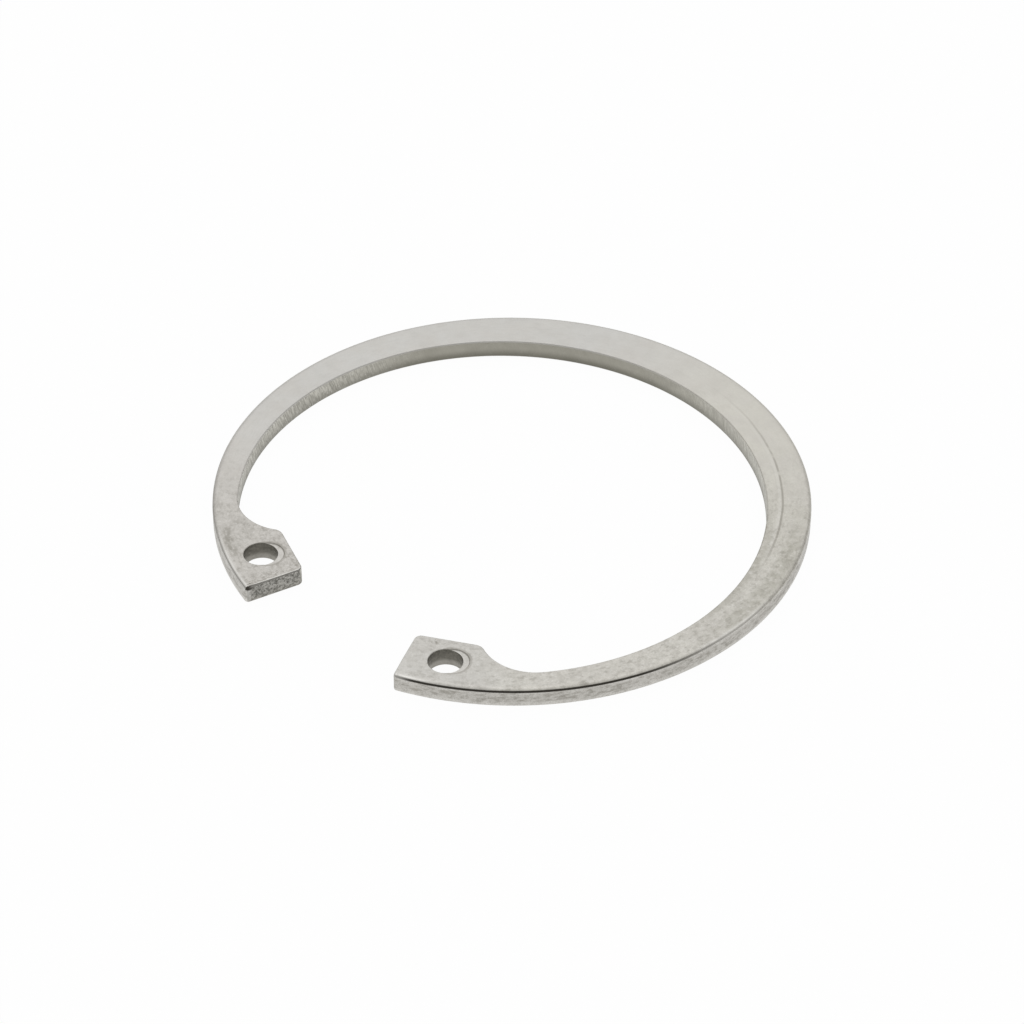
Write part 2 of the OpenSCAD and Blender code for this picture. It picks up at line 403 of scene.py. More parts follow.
def ring_tree(material):
    names = ("Outer radius", "Thickness", "Die roll width", "Die roll depth", "End distance",
             "Heel reach", "Heel roll", "Upper roll", "Lower roll", "Rim roll", "Land",
             "Hole radius", "Hole X", "Hole Y", "Mark shift", "Mark angle", "Mark depth")
    inputs = [("Outline", SHAPE)] + [(name, LENGTH) for name in names] + [("Steps", COUNT)]
    tree = new_tree("Punched ring", "GeometryNodeTree", inputs, [("Ring", SHAPE)])
    given = tree.nodes.new("NodeGroupInput").outputs

    outline_curve = add(tree, "GeometryNodeMeshToCurve", Mesh=given["Outline"]).outputs[0]
    marked = add(tree, "GeometryNodeCaptureAttribute", {"domain": "POINT"}, Geometry=outline_curve)
    for name in ("On outer edge", "On end"):
        marked.capture_items.new("FLOAT", name)
    place = place_from_outer_edge(tree, given)
    end_way = maths(tree, "MULTIPLY_ADD", maths(tree, "ABSOLUTE", place["x"]), end_dir.x,
                    maths(tree, "MULTIPLY", place["y"], end_dir.y))
    end_way = maths(tree, "SUBTRACT", end_way, given["End distance"])
    on_outer = maths(tree, "LESS_THAN", place["inset"], EDGE_SLACK)
    feed(tree, marked.inputs["On outer edge"], on_outer)
    feed(tree, marked.inputs["On end"], maths(tree, "LESS_THAN", end_way, END_REACH))
    band = swept_wall(tree, marked.outputs[0], given, given["Upper roll"], given["Lower roll"])
    band = deepened_heel(tree, band, marked.outputs["On end"], given)
    band = widened_edge(tree, band, marked.outputs["On outer edge"], given)

    centres = on_both_lugs(tree, given["Hole X"], given["Hole Y"])
    circle = add(tree, "GeometryNodeCurvePrimitiveCircle", {"mode": "RADIUS"},
                 Resolution=ROUND_STEPS, Radius=given["Hole radius"]).outputs[0]
    circles = add(tree, "GeometryNodeInstanceOnPoints", Points=centres, Instance=circle).outputs[0]
    circles = add(tree, "GeometryNodeRealizeInstances", Geometry=circles).outputs[0]
    holes = swept_wall(tree, circles, given, given["Rim roll"], given["Rim roll"])

    walls = joined(tree, band, holes)
    upper = filled_face(tree, walls, given["Thickness"], above=True, flip=False)
    lower = filled_face(tree, walls, 0.0, above=False, flip=True)
    shell = joined(tree, walls, upper, lower)
    closed = add(tree, "GeometryNodeMergeByDistance", Geometry=shell, Distance=WELD)
    blank = drawn_down(tree, closed.outputs[0], given)

    turn = given["Mark angle"]
    shift_x = maths(tree, "MULTIPLY", given["Mark shift"], maths(tree, "COSINE", turn))
    shift_y = maths(tree, "MULTIPLY", given["Mark shift"], maths(tree, "SINE", turn))
    floor_z = maths(tree, "SUBTRACT", given["Thickness"], given["Mark depth"])
    shift = add(tree, "ShaderNodeCombineXYZ", X=shift_x, Y=shift_y, Z=floor_z).outputs[0]
    # The mark's cone leans by 45 degrees, and rises as far above the face as it sinks below it
    wide = maths(tree, "MULTIPLY_ADD", given["Mark depth"], 1.5, given["Hole radius"])
    narrow = maths(tree, "MULTIPLY_ADD", given["Mark depth"], -0.5, given["Hole radius"])
    deep = maths(tree, "MULTIPLY", given["Mark depth"], 2.0)
    cone = add(tree, "GeometryNodeMeshCone", Vertices=ROUND_STEPS, Radius_Top=wide,
               Radius_Bottom=narrow, Depth=deep).outputs[0]
    cone = add(tree, "GeometryNodeTransform", Geometry=cone, Translation=shift).outputs[0]
    marks = add(tree, "GeometryNodeInstanceOnPoints", Points=centres, Instance=cone).outputs[0]
    marks = add(tree, "GeometryNodeRealizeInstances", Geometry=marks).outputs[0]
    pressed = add(tree, "GeometryNodeMeshBoolean", {"operation": "DIFFERENCE", "solver": "MANIFOLD"},
                  Mesh_1=blank, Mesh_2=marks).outputs[0]

    crease = add(tree, "GeometryNodeInputMeshEdgeAngle").outputs["Unsigned Angle"]
    soft = maths(tree, "LESS_THAN", crease, SHARPEST_SMOOTH)
    smooth = add(tree, "GeometryNodeSetShadeSmooth", {"domain": "FACE"}, Geometry=pressed).outputs[0]
    smooth = add(tree, "GeometryNodeSetShadeSmooth", {"domain": "EDGE"}, Geometry=smooth,
                 Shade_Smooth=soft).outputs[0]
    solid = add(tree, "GeometryNodeRealizeInstances", Geometry=smooth).outputs[0]
    dressed = add(tree, "GeometryNodeSetMaterial", Geometry=solid, Material=material).outputs[0]
    feed(tree, tree.nodes.new("NodeGroupOutput").inputs["Ring"], dressed)
    return tree


# %% [markdown]
# ## The finish
# Tumbling leaves the sheet's faces satin, with faint stains and specks, more of them towards the
# lugs. The walls keep what the punch left: leaning lines where the metal sheared, and a dull,
# darker skin. The thin dark line along the front, where the rolled outer edge steepens, is a
# painted dark reflection, and a few more marks below are painted light and shade. A material that
# knows where it is on the ring can hold all of that at once, so the cells below first find out what
# surface a point is on, and then give each surface its own colour, roughness and relief. Lengths in
# the material are in millimetres.

# %% Places on the ring
def between(tree, value, low, high):
    """A soft step: 0 below low and 1 above high, or the other way round where low is larger."""
    node = add(tree, "ShaderNodeMapRange", {"interpolation_type": "SMOOTHSTEP"}, Value=value)
    node.inputs["From Min"].default_value = low
    node.inputs["From Max"].default_value = high
    return node.outputs[0]


def close_to(tree, value, middle, reach):
    """1 at a middle value, falling to 0 at a reach to both sides of it."""
    away = maths(tree, "ABSOLUTE", maths(tree, "SUBTRACT", value, middle))
    return between(tree, away, reach, 0.3 * reach)


def scaled(tree, vector, factors):
    node = add(tree, "ShaderNodeMapping", {"vector_type": "POINT"}, Vector=vector, Scale=factors)
    return node.outputs[0]


def past(tree, place, start, stop):
    """0 up to a bearing and 1 from another on, in degrees from the back, clockwise from above."""
    return between(tree, place["bearing"], math.radians(start), math.radians(stop))


def drawn_out(tree, place, share):
    """Coordinates in which a pattern comes out longer along the band."""
    return scaled(tree, place["unrolled"], (share, 1.0, 1.0))


def inverted(tree, value):
    return maths(tree, "SUBTRACT", 1.0, value)


def both(tree, *masks):
    result = masks[0]
    for mask in masks[1:]:
        result = maths(tree, "MULTIPLY", result, mask)
    return result


def distance_in_plan(tree, x, y, centre):
    away_x = maths(tree, "SUBTRACT", x, centre.x / MM)
    away_y = maths(tree, "SUBTRACT", y, centre.y / MM)
    square = maths(tree, "MULTIPLY_ADD", away_y, away_y, maths(tree, "MULTIPLY", away_x, away_x))
    return maths(tree, "SQRT", square)


def ring_places(tree):
    """Coordinates on the ring, and masks for each kind of surface."""
    source = tree.nodes.new("ShaderNodeTexCoord").outputs
    place = {"mm": scaled(tree, source["Object"], (1 / MM, 1 / MM, 1 / MM))}
    parts = add(tree, "ShaderNodeSeparateXYZ", Vector=place["mm"]).outputs
    x, y, z = parts["X"], parts["Y"], parts["Z"]
    place["x"], place["y"], place["z"] = x, y, z
    place["height"] = maths(tree, "DIVIDE", z, thickness / MM)
    radius = distance_in_plan(tree, x, y, Vector((0, 0)))
    place["inset"] = maths(tree, "SUBTRACT", outer_r / MM, radius)
    place["bearing"] = maths(tree, "ARCTAN2", x, y)
    along = maths(tree, "MULTIPLY", place["bearing"], outer_r / MM)
    place["unrolled"] = add(tree, "ShaderNodeCombineXYZ", X=along, Y=radius, Z=z).outputs[0]

    facing = add(tree, "ShaderNodeSeparateXYZ", Vector=source["Normal"]).outputs["Z"]
    level = maths(tree, "ABSOLUTE", facing)
    place["level"] = level
    place["wall"] = between(tree, level, 0.4, 0.12)
    place["face"] = between(tree, level, 0.9, 0.995)
    place["edge"] = inverted(tree, maths(tree, "ADD", place["wall"], place["face"]))

    side_x = maths(tree, "ABSOLUTE", x)
    depth = maths(tree, "MULTIPLY_ADD", y, end_dir.y, -end_d / MM)
    depth = maths(tree, "MULTIPLY_ADD", side_x, end_dir.x, depth)
    place["end depth"] = depth
    place["end"] = both(tree, place["wall"], between(tree, depth, 0.14, 0.04))
    place["outer"] = both(tree, place["wall"], between(tree, place["inset"], 0.3, 0.1))
    place["hole way"] = distance_in_plan(tree, side_x, y, hole_at)
    near_hole = between(tree, place["hole way"], hole_r / MM + 0.3, hole_r / MM + 0.2)
    place["hole"] = both(tree, place["wall"], near_hole)
    shift = mark_shift * across(mark_angle)
    right_mark = distance_in_plan(tree, x, y, hole_at + shift)
    left_mark = distance_in_plan(tree, x, y, Vector((-hole_at.x, hole_at.y)) + shift)
    place["mark way"] = maths(tree, "MINIMUM", right_mark, left_mark)

    from_centre = distance_in_plan(tree, x, y, inner_c)
    place["inner way"] = maths(tree, "SUBTRACT", from_centre, inner_r / MM)
    place["worn"] = maths(tree, "MAXIMUM", past(tree, place, 25, 75), past(tree, place, -108, -148))
    place["right lug"] = past(tree, place, 136, 150)
    place["left side"] = past(tree, place, -95, -140)
    # Bearings where the rolled edge is rubbed bright and also carries a painted highlight: the lugs
    # and the right front
    lugs = maths(tree, "MAXIMUM", past(tree, place, 152, 158), past(tree, place, -135, -155))
    right_front = close_to(tree, place["bearing"], math.radians(94), math.radians(14))
    place["rubbed side"] = maths(tree, "MAXIMUM", lugs, maths(tree, "MULTIPLY", right_front, 0.7))
    return place


# %% Patterns that the finish is made of
def patches(tree, where, size, low, high, detail=3.0, seed=0.0):
    """Soft patches of about one size, 0 where the noise is under low and 1 where it is over high."""
    node = add(tree, "ShaderNodeTexNoise", {"noise_dimensions": "4D"}, Vector=where, W=seed,
               Scale=1 / size, Detail=detail)
    return between(tree, node.outputs[0], low, high)


def pits(tree, where, spacing, radius, share, seed=0.0):
    """Small round spots at random places, on a share of the cells of a lattice."""
    node = add(tree, "ShaderNodeTexVoronoi", {"voronoi_dimensions": "4D"}, Vector=where, W=seed,
               Scale=1 / spacing)
    pick = add(tree, "ShaderNodeSeparateColor", Color=node.outputs["Color"]).outputs[0]
    chosen = between(tree, pick, 1 - share, 1 - share + 0.05)
    spot = between(tree, node.outputs["Distance"], radius / spacing, 0.4 * radius / spacing)
    return both(tree, chosen, spot)


def mixed(tree, amount, first, second):
    node = tree.nodes.new("ShaderNodeMix")
    node.data_type = "RGBA"
    for slot, value in ((0, amount), (6, first), (7, second)):
        feed(tree, node.inputs[slot], value)
    return node.outputs[2]


def tinted(tree, colour, amount, share, tint):
    """The colour, with share of the tint mixed in where amount is 1."""
    return mixed(tree, maths(tree, "MULTIPLY", amount, share), colour, tint)


def total(tree, *weighted):
    """The sum of pairs of a value and its weight."""
    result = 0.0
    for value, weight in weighted:
        result = maths(tree, "MULTIPLY_ADD", value, weight, result)
    return result


# %% The satin faces
# Dark tint for stains and dirt, also used for painted shade
GRIME_AND_SHADE = (0.270, 0.255, 0.220, 1)
MOSSY = (0.290, 0.282, 0.225, 1)
# Pale tint for bare metal, also used for painted highlights, painted light and painted glints
BARE_AND_HIGHLIGHT = (0.760, 0.748, 0.715, 1)
BACK_TONE = (0.610, 0.602, 0.577, 1)
RIGHT_TONE = (0.634, 0.617, 0.561, 1)
FRONT_TONE = (0.672, 0.655, 0.605, 1)
RIGHT_LUG_TONE = (0.640, 0.629, 0.597, 1)
LEFT_TONE = (0.622, 0.601, 0.568, 1)
WARM_TONE = (0.598, 0.576, 0.538, 1)
TARNISH_BEARING = math.radians(78)
TARNISH_REACH = math.radians(28)
SCORE_INSET = 3.58
SCUFF_AT = Vector((11.7, -27.8)) * MM
LUG_STAIN_BEARING = math.radians(-147.5)
LUG_STAIN_REACH = math.radians(7)
LUG_STAIN_INSET = 1.25


def face_tone(tree, place):
    """The face's colour, which changes a little with bearing around the ring."""
    colour = mixed(tree, past(tree, place, -25, 25), BACK_TONE, RIGHT_TONE)
    colour = mixed(tree, past(tree, place, 62, 95), colour, FRONT_TONE)
    colour = mixed(tree, place["right lug"], colour, RIGHT_LUG_TONE)
    colour = mixed(tree, place["left side"], colour, LEFT_TONE)
    warm = patches(tree, place["mm"], 3.2, 0.30, 0.70, detail=2.0, seed=1.0)
    dull = patches(tree, place["mm"], 1.3, 0.36, 0.70, detail=2.0, seed=2.0)
    colour = tinted(tree, colour, warm, 0.45, WARM_TONE)
    return tinted(tree, colour, dull, 0.06, GRIME_AND_SHADE)


def blemished(tree, place, colour):
    """The colour with the marks that have one place each: tarnish, a smear on a lug and a scuff."""
    near_rims = maths(tree, "MAXIMUM", close_to(tree, place["inset"], 1.3, 1.5),
                      between(tree, place["inner way"], 1.5, 0.4))
    tarnish = both(tree, close_to(tree, place["bearing"], TARNISH_BEARING, TARNISH_REACH), near_rims,
                   patches(tree, place["mm"], 0.8, 0.30, 0.58, detail=5.0, seed=8.0))
    colour = tinted(tree, colour, tarnish, 0.34, MOSSY)
    smeared = patches(tree, drawn_out(tree, place, 0.5), 0.5, 0.34, 0.60, detail=5.0, seed=9.0)
    lug_stain = both(tree, close_to(tree, place["bearing"], LUG_STAIN_BEARING, LUG_STAIN_REACH),
                     close_to(tree, place["inset"], LUG_STAIN_INSET, 0.8), smeared)
    colour = tinted(tree, colour, lug_stain, 0.68, GRIME_AND_SHADE)
    way = distance_in_plan(tree, place["x"], place["y"], SCUFF_AT)
    scuff = both(tree, between(tree, way, 0.9, 0.3),
                 patches(tree, place["mm"], 0.5, 0.48, 0.60, seed=10.0))
    return tinted(tree, colour, scuff, 0.75, GRIME_AND_SHADE)


def score_line(tree, place):
    """The line scored along the right side, and the strip beside it that was rubbed bare."""
    wander = patches(tree, place["unrolled"], 6.0, 0.0, 1.0, detail=1.0, seed=11.0)
    line_way = maths(tree, "SUBTRACT", place["inset"], 0.15)
    line_way = maths(tree, "MULTIPLY_ADD", wander, 0.3, line_way)
    on_line = both(tree, past(tree, place, 5, 48), past(tree, place, 80, 62), place["face"])
    broken = patches(tree, place["unrolled"], 1.7, 0.28, 0.52, detail=4.0, seed=12.0)
    scored = both(tree, close_to(tree, line_way, SCORE_INSET, 0.20), on_line, broken)
    bared = both(tree, close_to(tree, line_way, SCORE_INSET + 0.34, 0.28), on_line)
    return scored, bared


def punch_marks(tree, place):
    """The ridge, where painted shade goes, and the floor of the crescent beside each plier hole."""
    marked_r = hole_r / MM + mark_depth / MM / 2
    upper = between(tree, place["z"], thickness / MM / 2, thickness / MM)
    ridge = both(tree, close_to(tree, place["mark way"], marked_r + 0.05, 0.30), upper)
    pressed = both(tree, between(tree, place["mark way"], marked_r - 0.05, marked_r - 0.20), upper)
    return ridge, pressed


def face_finish(tree, place):
    """Colour and relief of the upper and lower face, and where they are stained."""
    colour = face_tone(tree, place)
    worn = both(tree, place["worn"], maths(tree, "MULTIPLY_ADD", place["right lug"], -0.3, 1.0))
    cloud = both(tree, patches(tree, place["mm"], 0.95, 0.42, 0.62, detail=4.0, seed=3.0), worn)
    smudge = patches(tree, drawn_out(tree, place, 0.6), 0.42, 0.46, 0.68, detail=5.0, seed=4.0)
    stain = both(tree, smudge, worn)
    specks = both(tree, pits(tree, place["mm"], 0.34, 0.13, 0.45, seed=5.0), worn)
    drawn = patches(tree, drawn_out(tree, place, 0.12), 0.22, 0.48, 0.75, detail=2.0, seed=6.0)
    grain = patches(tree, place["mm"], 0.16, 0.3, 0.7, detail=2.0, seed=7.0)
    flecks = both(tree, patches(tree, place["mm"], 0.30, 0.50, 0.68, detail=4.0, seed=13.0), worn)
    colour = tinted(tree, colour, cloud, 0.17, GRIME_AND_SHADE)
    colour = tinted(tree, colour, stain, 0.35, GRIME_AND_SHADE)
    colour = tinted(tree, colour, flecks, 0.36, BARE_AND_HIGHLIGHT)
    colour = tinted(tree, colour, specks, 0.14, GRIME_AND_SHADE)
    colour = tinted(tree, colour, drawn, 0.07, GRIME_AND_SHADE)
    colour = tinted(tree, colour, grain, 0.07, GRIME_AND_SHADE)
    colour = tinted(tree, colour, both(tree, grain, worn), 0.12, GRIME_AND_SHADE)

    by_tip = both(tree, between(tree, place["inset"], 5.8, 7.2),
                  between(tree, place["end depth"], 5.0, 2.0))
    by_end = maths(tree, "MAXIMUM", between(tree, place["end depth"], 2.6, 0.4), by_tip)
    sooty = patches(tree, place["mm"], 0.22, 0.47, 0.60, detail=4.0, seed=14.0)
    soot = both(tree, sooty, by_end, place["left side"])
    colour = tinted(tree, colour, soot, 0.52, GRIME_AND_SHADE)

    colour = blemished(tree, place, colour)
    scored, bared = score_line(tree, place)
    colour = tinted(tree, colour, scored, 0.60, GRIME_AND_SHADE)
    colour = tinted(tree, colour, bared, 0.16, BARE_AND_HIGHLIGHT)

    ridge, pressed = punch_marks(tree, place)
    colour = tinted(tree, colour, pressed, 0.18, BARE_AND_HIGHLIGHT)
    # Painted shade along the ridge of each punch mark
    colour = tinted(tree, colour, ridge, 0.42, GRIME_AND_SHADE)

    relief = total(tree, (stain, -0.6), (grain, -0.4), (specks, -1.2), (scored, -2.5))
    return colour, relief, stain


# %% The punched walls
OUTER_TONE = (0.652, 0.637, 0.602, 1)
# Colour at the foot of the inner wall, made darker as painted shade
SHADED_INNER_FOOT = (0.178, 0.171, 0.143, 1)
INNER_TOP = (0.361, 0.349, 0.302, 1)
INNER_PALE = (0.740, 0.728, 0.668, 1)
SHEAR_DARK = (0.190, 0.183, 0.155, 1)
END_DARK = (0.150, 0.146, 0.130, 1)
END_PALE = (0.400, 0.390, 0.360, 1)
HOLE_DARK = (0.158, 0.151, 0.130, 1)
HOLE_PALE = (0.340, 0.327, 0.296, 1)


def outer_wall(tree, place):
    """The edge that slides on the bore: burnished above and below, dull and pitted between, and
    lighter on its left side as painted light.
    """
    uneven = patches(tree, drawn_out(tree, place, 0.3), 0.6, 0.3, 0.7, seed=21.0)
    stripe = close_to(tree, total(tree, (uneven, 0.2), (place["height"], 1.0)), 0.58, 0.40)
    streak = patches(tree, drawn_out(tree, place, 0.4), 0.32, 0.42, 0.66, detail=5.0, seed=22.0)
    speck = patches(tree, place["mm"], 0.15, 0.44, 0.72, detail=3.0, seed=23.0)
    # Painted light: the outer wall is lighter on its left side
    left = past(tree, place, -100, -140)
    colour = tinted(tree, OUTER_TONE, left, 0.5, BARE_AND_HIGHLIGHT)
    colour = tinted(tree, colour, stripe, 0.20, GRIME_AND_SHADE)
    colour = tinted(tree, colour, both(tree, streak, stripe), 0.60, GRIME_AND_SHADE)
    colour = tinted(tree, colour, speck, 0.45, GRIME_AND_SHADE)
    return colour, total(tree, (streak, -0.7), (speck, -0.6))


def inner_wall(tree, place):
    """The sheared edge: leaning lines where it tore, bright flecks there that are painted glints, and
    a foot made darker as painted shade.
    """
    lean = maths(tree, "MULTIPLY", place["z"], 0.35)
    leaning = add(tree, "ShaderNodeVectorMath", {"operation": "MULTIPLY_ADD"},
                  Vector=place["unrolled"])
    leaning.inputs[1].default_value = (1.0, 1.0, 0.15)
    feed(tree, leaning.inputs[2], add(tree, "ShaderNodeCombineXYZ", X=lean).outputs[0])
    torn_left = past(tree, place, -58, -88)
    torn_right = past(tree, place, -18, 42)
    torn = maths(tree, "ADD", total(tree, (torn_left, 0.85), (torn_right, 0.65)), 0.15)
    lift = maths(tree, "MULTIPLY_ADD", place["height"], 0.5, 0.22)
    paler = both(tree, total(tree, (torn_left, 0.95), (torn_right, 1.2)), lift)
    lines = patches(tree, leaning.outputs[0], 0.20, 0.40, 0.62, detail=3.0, seed=24.0)
    sheared = both(tree, lines, torn)
    blotch = patches(tree, place["mm"], 0.8, 0.40, 0.66, detail=4.0, seed=25.0)
    # Painted glints: bright flecks, most of them where the wall tore
    painted_glints = both(tree, patches(tree, place["mm"], 0.22, 0.58, 0.72, detail=3.0, seed=26.0), torn)
    # Painted shade: the wall grows darker towards its foot
    risen = between(tree, place["height"], 0.05, 0.60)
    colour = mixed(tree, risen, SHADED_INNER_FOOT, INNER_TOP)
    colour = tinted(tree, colour, paler, 1.0, INNER_PALE)
    colour = tinted(tree, colour, blotch, 0.14, GRIME_AND_SHADE)
    colour = tinted(tree, colour, sheared, 0.55, SHEAR_DARK)
    colour = tinted(tree, colour, painted_glints, 0.55, BARE_AND_HIGHLIGHT)
    return colour, total(tree, (sheared, -1.2), (painted_glints, 0.5))


def end_wall(tree, place):
    """The broken faces beside the gap: dark and crumbly, rubbed bright along their borders."""
    crumbs = patches(tree, place["mm"], 0.36, 0.40, 0.60, detail=6.0, seed=27.0)
    sparks = patches(tree, place["mm"], 0.14, 0.50, 0.66, detail=2.0, seed=28.0)
    off_foot = between(tree, place["z"], 0.05, 0.25)
    off_heel = between(tree, place["inset"], 0.4, 0.8)
    off_tip = between(tree, place["inset"], lug_height / MM - 0.4, lug_height / MM - 0.8)
    border = inverted(tree, both(tree, off_foot, off_heel, off_tip))
    colour = mixed(tree, crumbs, END_DARK, END_PALE)
    colour = tinted(tree, colour, sparks, 0.42, BARE_AND_HIGHLIGHT)
    colour = tinted(tree, colour, border, 0.40, BARE_AND_HIGHLIGHT)
    colour = tinted(tree, colour, between(tree, place["z"], 1.2, 0.3), 0.28, GRIME_AND_SHADE)
    return colour, total(tree, (crumbs, 1.0), (sparks, 0.5))


def hole_wall(tree, place):
    """The sides of the plier holes: dark where the punch sheared, paler below, where they broke."""
    broken = between(tree, place["height"], 0.46, 0.22)
    rough = patches(tree, place["mm"], 0.3, 0.35, 0.65, detail=4.0, seed=29.0)
    colour = mixed(tree, broken, HOLE_DARK, HOLE_PALE)
    return tinted(tree, colour, rough, 0.35, GRIME_AND_SHADE), total(tree, (rough, -0.8))


# %% Painted dark reflection in the rolled edge
# Colour of the painted dark reflection in the rolled edge
DARK_REFLECTION_TONE = (0.032, 0.028, 0.022, 1)


def painted_dark_reflection(tree, place):
    """A painted dark reflection where the die's roll-over steepens, heaviest along the front, and in
    the roll at the heels.
    """
    steep = both(tree, between(tree, place["level"], 0.81, 0.70),
                 between(tree, place["level"], 0.10, 0.28))
    at_end = between(tree, place["end depth"], 0.32, 0.24)
    edges = maths(tree, "MAXIMUM", between(tree, place["inset"], 0.55, 0.35), at_end)
    front = past(tree, place, 92, 120)
    left = past(tree, place, -80, -110)
    uneven = patches(tree, place["unrolled"], 1.2, 0.15, 0.5, seed=30.0)
    thick = total(tree, (front, 1.1), (left, 0.30), (at_end, 0.25))
    ragged = maths(tree, "MULTIPLY_ADD", uneven, 0.15, 0.85)
    edge_line = both(tree, steep, edges, thick, ragged)
    heel = both(tree, at_end, between(tree, place["inset"], 1.5, 0.3),
                between(tree, place["z"], 1.78, 2.0), inverted(tree, place["face"]))
    dark_marks = maths(tree, "MINIMUM", maths(tree, "MAXIMUM", edge_line, heel), 1.0)
    # Less of the painted dark reflection at the right heel
    spared_right_heel = past(tree, place, 157.5, 160.6)
    kept = maths(tree, "MULTIPLY_ADD", spared_right_heel, -0.7, 1.0)
    return both(tree, dark_marks, kept, between(tree, place["z"], 1.3, 1.6))


# %% The steel
BASE_ROUGHNESS = 0.28
RELIEF_HEIGHT = 0.006 * MM


def tumbled_stainless():
    steel = bpy.data.materials.new("tumbled_stainless")
    steel.use_nodes = True
    tree = steel.node_tree
    shader = tree.nodes["Principled BSDF"]
    shader.inputs["Metallic"].default_value = 1.0
    place = ring_places(tree)
    colour, face_relief, stain = face_finish(tree, place)

    wall_colour, wall_relief = inner_wall(tree, place)
    for name, finish in (("outer", outer_wall), ("end", end_wall), ("hole", hole_wall)):
        own_colour, own_relief = finish(tree, place)
        wall_colour = mixed(tree, place[name], wall_colour, own_colour)
        change = maths(tree, "SUBTRACT", own_relief, wall_relief)
        wall_relief = maths(tree, "MULTIPLY_ADD", place[name], change, wall_relief)

    by_end = between(tree, place["end depth"], 0.5, 0.3)
    beside = maths(tree, "MAXIMUM", between(tree, place["inset"], 1.4, 0.9), by_end)
    # Rolled edges rubbed bright, paler and smoother; the paler colour is also a painted highlight
    rubbed = both(tree, place["edge"], beside, place["rubbed side"])
    # Painted shade: the rolled edge is made darker along the front
    painted_edge_shade = both(tree, place["edge"], beside, past(tree, place, 102, 120))
    colour = tinted(tree, colour, painted_edge_shade, 0.07, GRIME_AND_SHADE)
    colour = tinted(tree, colour, rubbed, 0.7, BARE_AND_HIGHLIGHT)
    skin = mixed(tree, place["wall"], colour, wall_colour)
    # Painted dark reflection: a dark line along the rolled outer edge, and dark spots in the roll at
    # the heels
    skin = tinted(tree, skin, painted_dark_reflection(tree, place), 0.95, DARK_REFLECTION_TONE)
    feed(tree, shader.inputs["Base Color"], skin)

    cloud = patches(tree, place["mm"], 2.5, 0.3, 0.7, seed=31.0)
    rough = total(tree, (cloud, 0.10), (stain, 0.10), (place["wall"], 0.16),
                  (place["edge"], 0.12), (rubbed, -0.27))
    feed(tree, shader.inputs["Roughness"], maths(tree, "ADD", rough, BASE_ROUGHNESS))

    relief = total(tree, (both(tree, place["wall"], wall_relief), 3.0),
                   (both(tree, place["face"], face_relief), 1.0))
    bump = add(tree, "ShaderNodeBump", Height=relief, Strength=1.0, Distance=RELIEF_HEIGHT)
    feed(tree, shader.inputs["Normal"], bump.outputs[0])
    return steel


steel = tumbled_stainless()
print("steel:", len(steel.node_tree.nodes), "nodes")


# %% [markdown]
# ## The ring
# The outline becomes a closed loop of points, the tree grows the ring from it, and what comes out
# is kept as a plain mesh. Its volume, its box and a count of open edges are printed, to hold them
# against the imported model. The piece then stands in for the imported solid.

# %% Build the ring
def outline_mesh(points):
    mesh = bpy.data.meshes.new("ring_outline")
    edges = [(k, (k + 1) % len(points)) for k in range(len(points))]
    mesh.from_pydata([(p.x, p.y, 0.0) for p in points], edges, [])
    return mesh


def grown(name, mesh, tree, values):
    """Runs a tree on a mesh, and keeps what comes out as a plain mesh object."""
    source = bpy.data.objects.new(name + "_source", mesh)
    bpy.context.scene.collection.objects.link(source)
    modifier = source.modifiers.new(tree.name, "NODES")
    modifier.node_group = tree
    for item in tree.interface.items_tree:
        if item.in_out == "INPUT" and item.name in values:
            modifier[item.identifier] = values[item.name]
    depsgraph = bpy.context.evaluated_depsgraph_get()
    result = bpy.data.meshes.new_from_object(source.evaluated_get(depsgraph))
    result.name = name
    piece = bpy.data.objects.new(name, result)
    bpy.context.scene.collection.objects.link(piece)
    source.modifiers.remove(modifier)
    bpy.data.objects.remove(source)
    return piece


ring_sizes = {
    "Outer radius": outer_r, "Thickness": thickness, "Die roll width": die_roll_width,
    "Die roll depth": die_roll_depth, "End distance": end_d, "Heel reach": heel_reach,
    "Heel roll": heel_roll, "Upper roll": upper_roll, "Lower roll": lower_roll, "Rim roll": rim_roll,
    "Land": face_land, "Hole radius": hole_r, "Hole X": hole_at.x, "Hole Y": hole_at.y,
    "Mark shift": mark_shift, "Mark angle": mark_angle, "Mark depth": mark_depth,
    "Steps": ROLL_STEPS,
}
ring = grown("stainless_ring", outline_mesh(outline), ring_tree(steel), ring_sizes)
check = bmesh.new()
check.from_mesh(ring.data)
open_edges = sum(not edge.is_manifold for edge in check.edges)
print("ring:", len(ring.data.polygons), "faces,", open_edges, "open edges, volume, mm3:",
      round(check.calc_volume(signed=True) / MM ** 3, 1))
check.free()
for axis, name in enumerate("xyz"):
    reach = [vertex.co[axis] / MM for vertex in ring.data.vertices]
    print("box along", name, "mm:", round(min(reach), 3), round(max(reach), 3))

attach(ring, "root")
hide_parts("retaining_ring")

# %% [markdown]
# ## The camera
# The picture looks down on the ring from its right, past the gap. A long lens keeps the far side
# nearly as large as the near side. The camera's place follows from two angles and a distance, and
# it aims at a point close to the middle.

# %% Camera
PIXELS = 1024
FOCAL_PIXELS = 3400
camera_azimuth = math.radians(40.38)
camera_elevation = math.radians(38.95)
camera_roll = math.radians(0.43)
camera_distance = 424.15 * MM
aim_right = 0.01 * MM
aim_ahead = -1.23 * MM

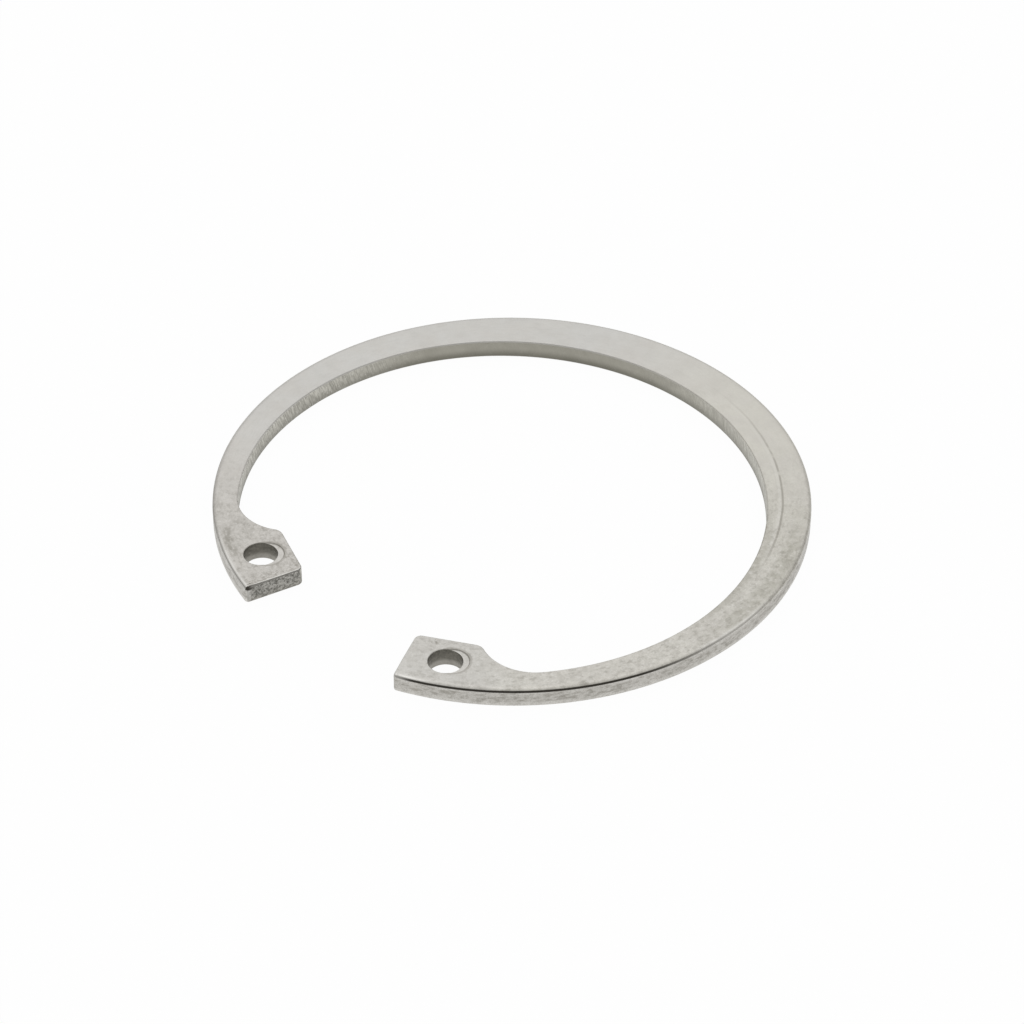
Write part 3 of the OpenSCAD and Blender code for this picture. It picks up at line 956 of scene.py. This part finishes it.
lens = bpy.data.cameras.new("camera")
lens.sensor_width = 36
lens.lens = FOCAL_PIXELS / PIXELS * lens.sensor_width
lens.clip_start = 10 * MM
camera = bpy.data.objects.new("camera", lens)
bpy.context.scene.collection.objects.link(camera)
turned = Matrix.Rotation(camera_azimuth, 4, "Z")
tilt = Matrix.Rotation(math.pi / 2 - camera_elevation, 4, "X")
view = turned @ tilt @ Matrix.Rotation(camera_roll, 4, "Z")
aim = turned @ Vector((aim_right, aim_ahead, 0))
back_off = view.to_3x3() @ Vector((0, 0, camera_distance))
camera.matrix_world = Matrix.Translation(aim + back_off) @ view
bpy.context.scene.camera = camera
print("camera, mm:", [round(value / MM, 1) for value in camera.location])

# %% [markdown]
# ## Floor and light
# Bright metal shows whatever is around it, so the surroundings of a small part matter more than its
# lamps. One large white canopy stands behind and above the ring, and its reflection makes the upper
# face pale and even. The rest of the room is plain grey, which the walls and the rolled edges pick
# up, and a weak lamp hangs overhead. The floor is white paper: the camera and the metal see it as
# plain white, and a share of its real shading stays, which keeps the shadow under the ring.

# %% Floor
# Share of the paper's plain white in what the camera and the metal see of it
FLOOR_SHARE = 0.97
PAPER = (0.95, 0.95, 0.95, 1)
WHITE = (1, 1, 1, 1)


def white_paper():
    paper = bpy.data.materials.new("white_paper")
    paper.use_nodes = True
    tree = paper.node_tree
    shader = tree.nodes["Principled BSDF"]
    shader.inputs["Base Color"].default_value = PAPER
    shader.inputs["Roughness"].default_value = 0.9
    shader.inputs["Specular IOR Level"].default_value = 0.0
    glow = add(tree, "ShaderNodeEmission", Color=WHITE, Strength=1.0)
    path = tree.nodes.new("ShaderNodeLightPath").outputs
    seen = maths(tree, "MAXIMUM", path["Is Camera Ray"], path["Is Glossy Ray"])
    seen = maths(tree, "MAXIMUM", seen, path["Is Transmission Ray"])
    mix = tree.nodes.new("ShaderNodeMixShader")
    feed(tree, mix.inputs[0], maths(tree, "MULTIPLY", seen, FLOOR_SHARE))
    tree.links.new(shader.outputs[0], mix.inputs[1])
    tree.links.new(glow.outputs[0], mix.inputs[2])
    tree.links.new(mix.outputs[0], tree.nodes["Material Output"].inputs["Surface"])
    return paper


floor_reach = 4.0
floor_mesh = bpy.data.meshes.new("floor")
floor_corners = [(x * floor_reach, y * floor_reach, 0)
                 for x, y in ((-1, -1), (1, -1), (1, 1), (-1, 1))]
floor_mesh.from_pydata(floor_corners, [], [(0, 1, 2, 3)])
floor_mesh.materials.append(white_paper())
floor = bpy.data.objects.new("floor", floor_mesh)
bpy.context.scene.collection.objects.link(floor)

# %% Canopy and lamp
canopy_azimuth = camera_azimuth + math.pi
canopy_elevation = math.radians(60)
canopy_reach = math.radians(48.5)
canopy_softness = math.radians(8)
ROOM_GREY = (0.520, 0.515, 0.505, 1)


def aligned(tree, way, azimuth, elevation):
    """The cosine of the angle between a direction and the one that two angles give."""
    level = toward(azimuth) * math.cos(elevation)
    node = add(tree, "ShaderNodeVectorMath", {"operation": "DOT_PRODUCT"}, Vector=way)
    node.inputs[1].default_value = (level.x, level.y, math.sin(elevation))
    return node.outputs["Value"]


def studio():
    """A plain grey room, with one large white canopy behind and above the ring."""
    world = bpy.data.worlds.new("studio")
    world.use_nodes = True
    tree = world.node_tree
    way = tree.nodes.new("ShaderNodeTexCoord").outputs["Generated"]
    lit = between(tree, aligned(tree, way, canopy_azimuth, canopy_elevation),
                  math.cos(canopy_reach + canopy_softness), math.cos(canopy_reach - canopy_softness))
    colour = mixed(tree, lit, ROOM_GREY, WHITE)
    feed(tree, tree.nodes["Background"].inputs["Color"], colour)
    tree.nodes["Background"].inputs["Strength"].default_value = 1.0
    return world


bpy.context.scene.world = studio()

lamp_height = 1.2
lamp_side = 0.8
lamp_radiance = 0.2
lamp_data = bpy.data.lights.new("softbox", "AREA")
lamp_data.shape = "SQUARE"
lamp_data.size = lamp_side
lamp_data.energy = lamp_radiance * math.pi * lamp_side ** 2
lamp = bpy.data.objects.new("softbox", lamp_data)
lamp.location = (0, 0, lamp_height)
bpy.context.scene.collection.objects.link(lamp)
bpy.context.scene.view_settings.view_transform = "Standard"
print("softbox:", round(lamp_data.energy, 2), "W")
